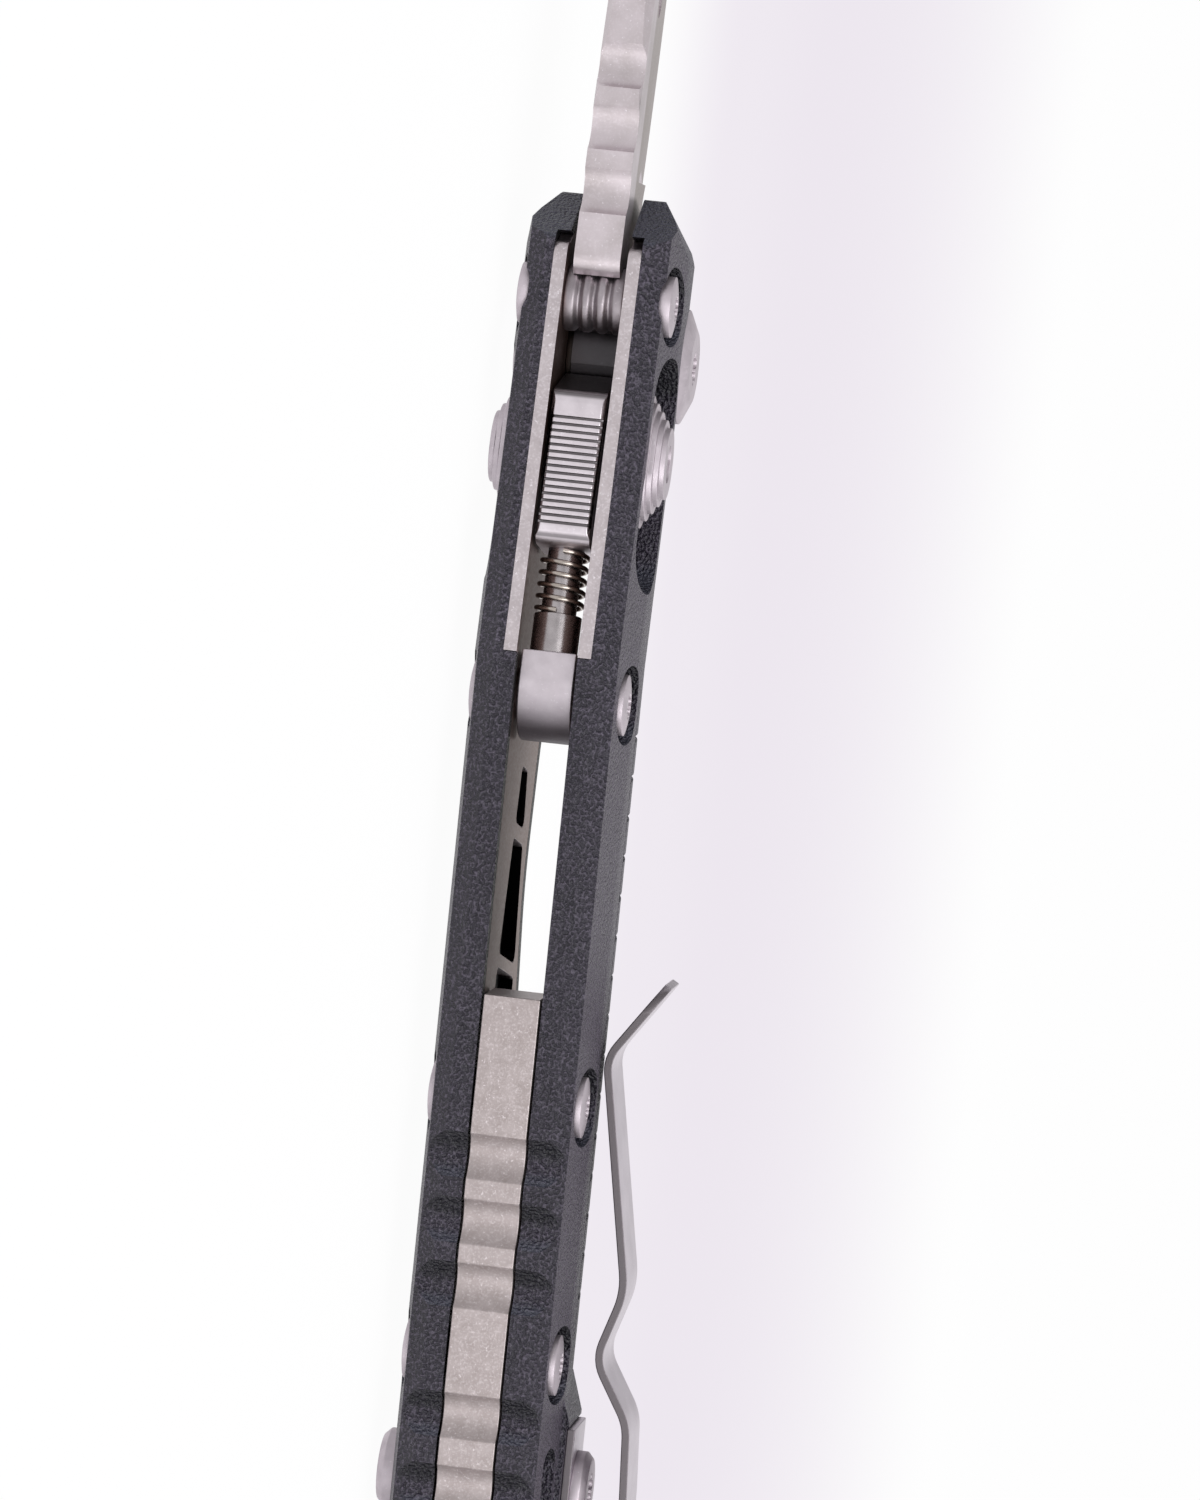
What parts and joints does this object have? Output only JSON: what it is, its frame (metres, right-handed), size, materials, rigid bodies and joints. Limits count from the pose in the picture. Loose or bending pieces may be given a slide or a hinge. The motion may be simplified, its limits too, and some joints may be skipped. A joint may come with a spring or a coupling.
{
  "type": "folding knife",
  "caption": "Folding knife with a sliding lock in the open spine, grooved polymer scales over steel liners, a thumb-hole blade and a deep pocket clip.",
  "frame": {"origin": "Centre of the knife's box, at the level of the lowest face of the left side, on which the knife lies.", "axes": "+X along the open blade towards its point, +Y towards the spine, +Z towards the clip side."},
  "size_m": [0.2122, 0.0396, 0.0234],
  "materials": {
    "handle_polymer": "moulded glass-filled nylon, fine spark texture",
    "liner_steel": "stonewashed stainless steel",
    "blade_steel": "stonewashed stainless steel, ground faces",
    "machined_steel": "machined and tumbled steel",
    "fastener_steel": "bead-blasted stainless steel",
    "clip_steel": "bead-blasted spring steel",
    "spring_steel": "oiled music wire and rod",
    "washer_bronze": "phosphor bronze"
  },
  "bodies": {
    "handle": {"left_scale": "handle_polymer", "right_scale": "handle_polymer", "left_liner": "liner_steel", "right_liner": "liner_steel", "left_washer": "washer_bronze", "right_washer": "washer_bronze", "pivot_barrel": "machined_steel", "pivot_screw": "fastener_steel", "pivot_nut": "fastener_steel", "stop_pin": "machined_steel", "stop_pin_screws": "fastener_steel", "lock_spring": "spring_steel", "guide_rod": "spring_steel", "spring_block": "machined_steel", "block_screws": "fastener_steel", "backspacer": "liner_steel", "backspacer_screws": "fastener_steel", "pocket_clip": "clip_steel", "clip_bolt": "fastener_steel", "clip_nut": "fastener_steel"},
    "blade": {"blade": "blade_steel"},
    "lock": {"lock_slider": "machined_steel", "left_button": "fastener_steel", "right_button": "fastener_steel", "button_screws": "machined_steel"}
  },
  "joints": [
    {"name": "blade_pivot", "type": "hinge", "parent": "handle", "child": "blade", "pos_m": [0.00856, 0.00476, 0.00915], "axis": [0, 0, 1], "range_deg": [-176, 0]},
    {"name": "lock_slide", "type": "slide", "parent": "handle", "child": "lock", "axis": [1, 0, 0], "range_m": [-0.003, 0.001], "stiffness_N_per_m": 500, "deforming": ["lock_spring"]}
  ]
}
